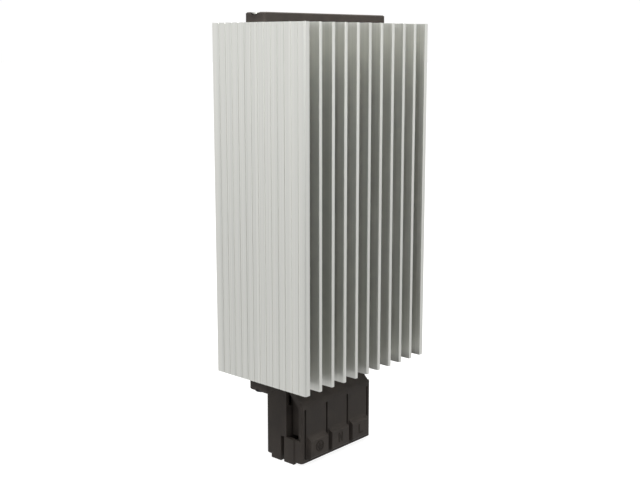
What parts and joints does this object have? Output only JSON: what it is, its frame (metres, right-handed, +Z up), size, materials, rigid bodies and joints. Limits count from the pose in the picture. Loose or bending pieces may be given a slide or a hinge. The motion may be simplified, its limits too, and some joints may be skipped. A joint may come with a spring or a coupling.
{
  "type": "enclosure heater",
  "caption": "Finned aluminium enclosure heater that clips on a 35 mm rail, with a black top cap and a press-clamp terminal block below.",
  "frame": {"origin": "middle of the 35 mm rail, on the plane where the rail's flanges seat against the clip", "axes": "+X across the fins, +Y back towards the rail, +Z up along the fins"},
  "size_m": [0.07, 0.0503, 0.1698],
  "materials": {
    "extruded_aluminium": "mill-finish extrusion, fine lines along its length",
    "black_plastic": "moulded, fine satin texture",
    "zinc_steel": "bright zinc plated",
    "black_steel": "black oxide on steel",
    "spring_steel": "rolled and zinc plated",
    "brass_contact": "stamped, bright",
    "electrode_aluminium": "rolled strip",
    "amber_film": "smooth insulating film",
    "frame_plastic": "moulded heat-proof plastic",
    "heating_ceramic": "fired, metallised faces",
    "lead_silicone": "silicone insulation"
  },
  "bodies": {
    "root": {"heatsink_profile": "extruded_aluminium", "top_cap": "black_plastic", "terminal_housing": "black_plastic", "terminal_cover": "black_plastic", "top_cap_screws": "zinc_steel", "housing_screws": "black_steel", "clip_screws": "zinc_steel", "earth_screw": "zinc_steel", "rail_clip": "spring_steel", "clamp_spring_earth": "spring_steel", "clamp_spring_neutral": "spring_steel", "clamp_spring_line": "spring_steel", "current_bar_earth": "brass_contact", "current_bar_neutral": "brass_contact", "current_bar_line": "brass_contact", "earth_lug": "brass_contact", "electrode_line": "electrode_aluminium", "electrode_neutral": "electrode_aluminium", "insulating_film": "amber_film", "tablet_frame": "frame_plastic", "tablet_1": "heating_ceramic", "tablet_2": "heating_ceramic", "tablet_3": "heating_ceramic", "tablet_4": "heating_ceramic", "lead_earth": "lead_silicone", "lead_neutral": "lead_silicone", "lead_line": "lead_silicone"}
  },
  "joints": []
}
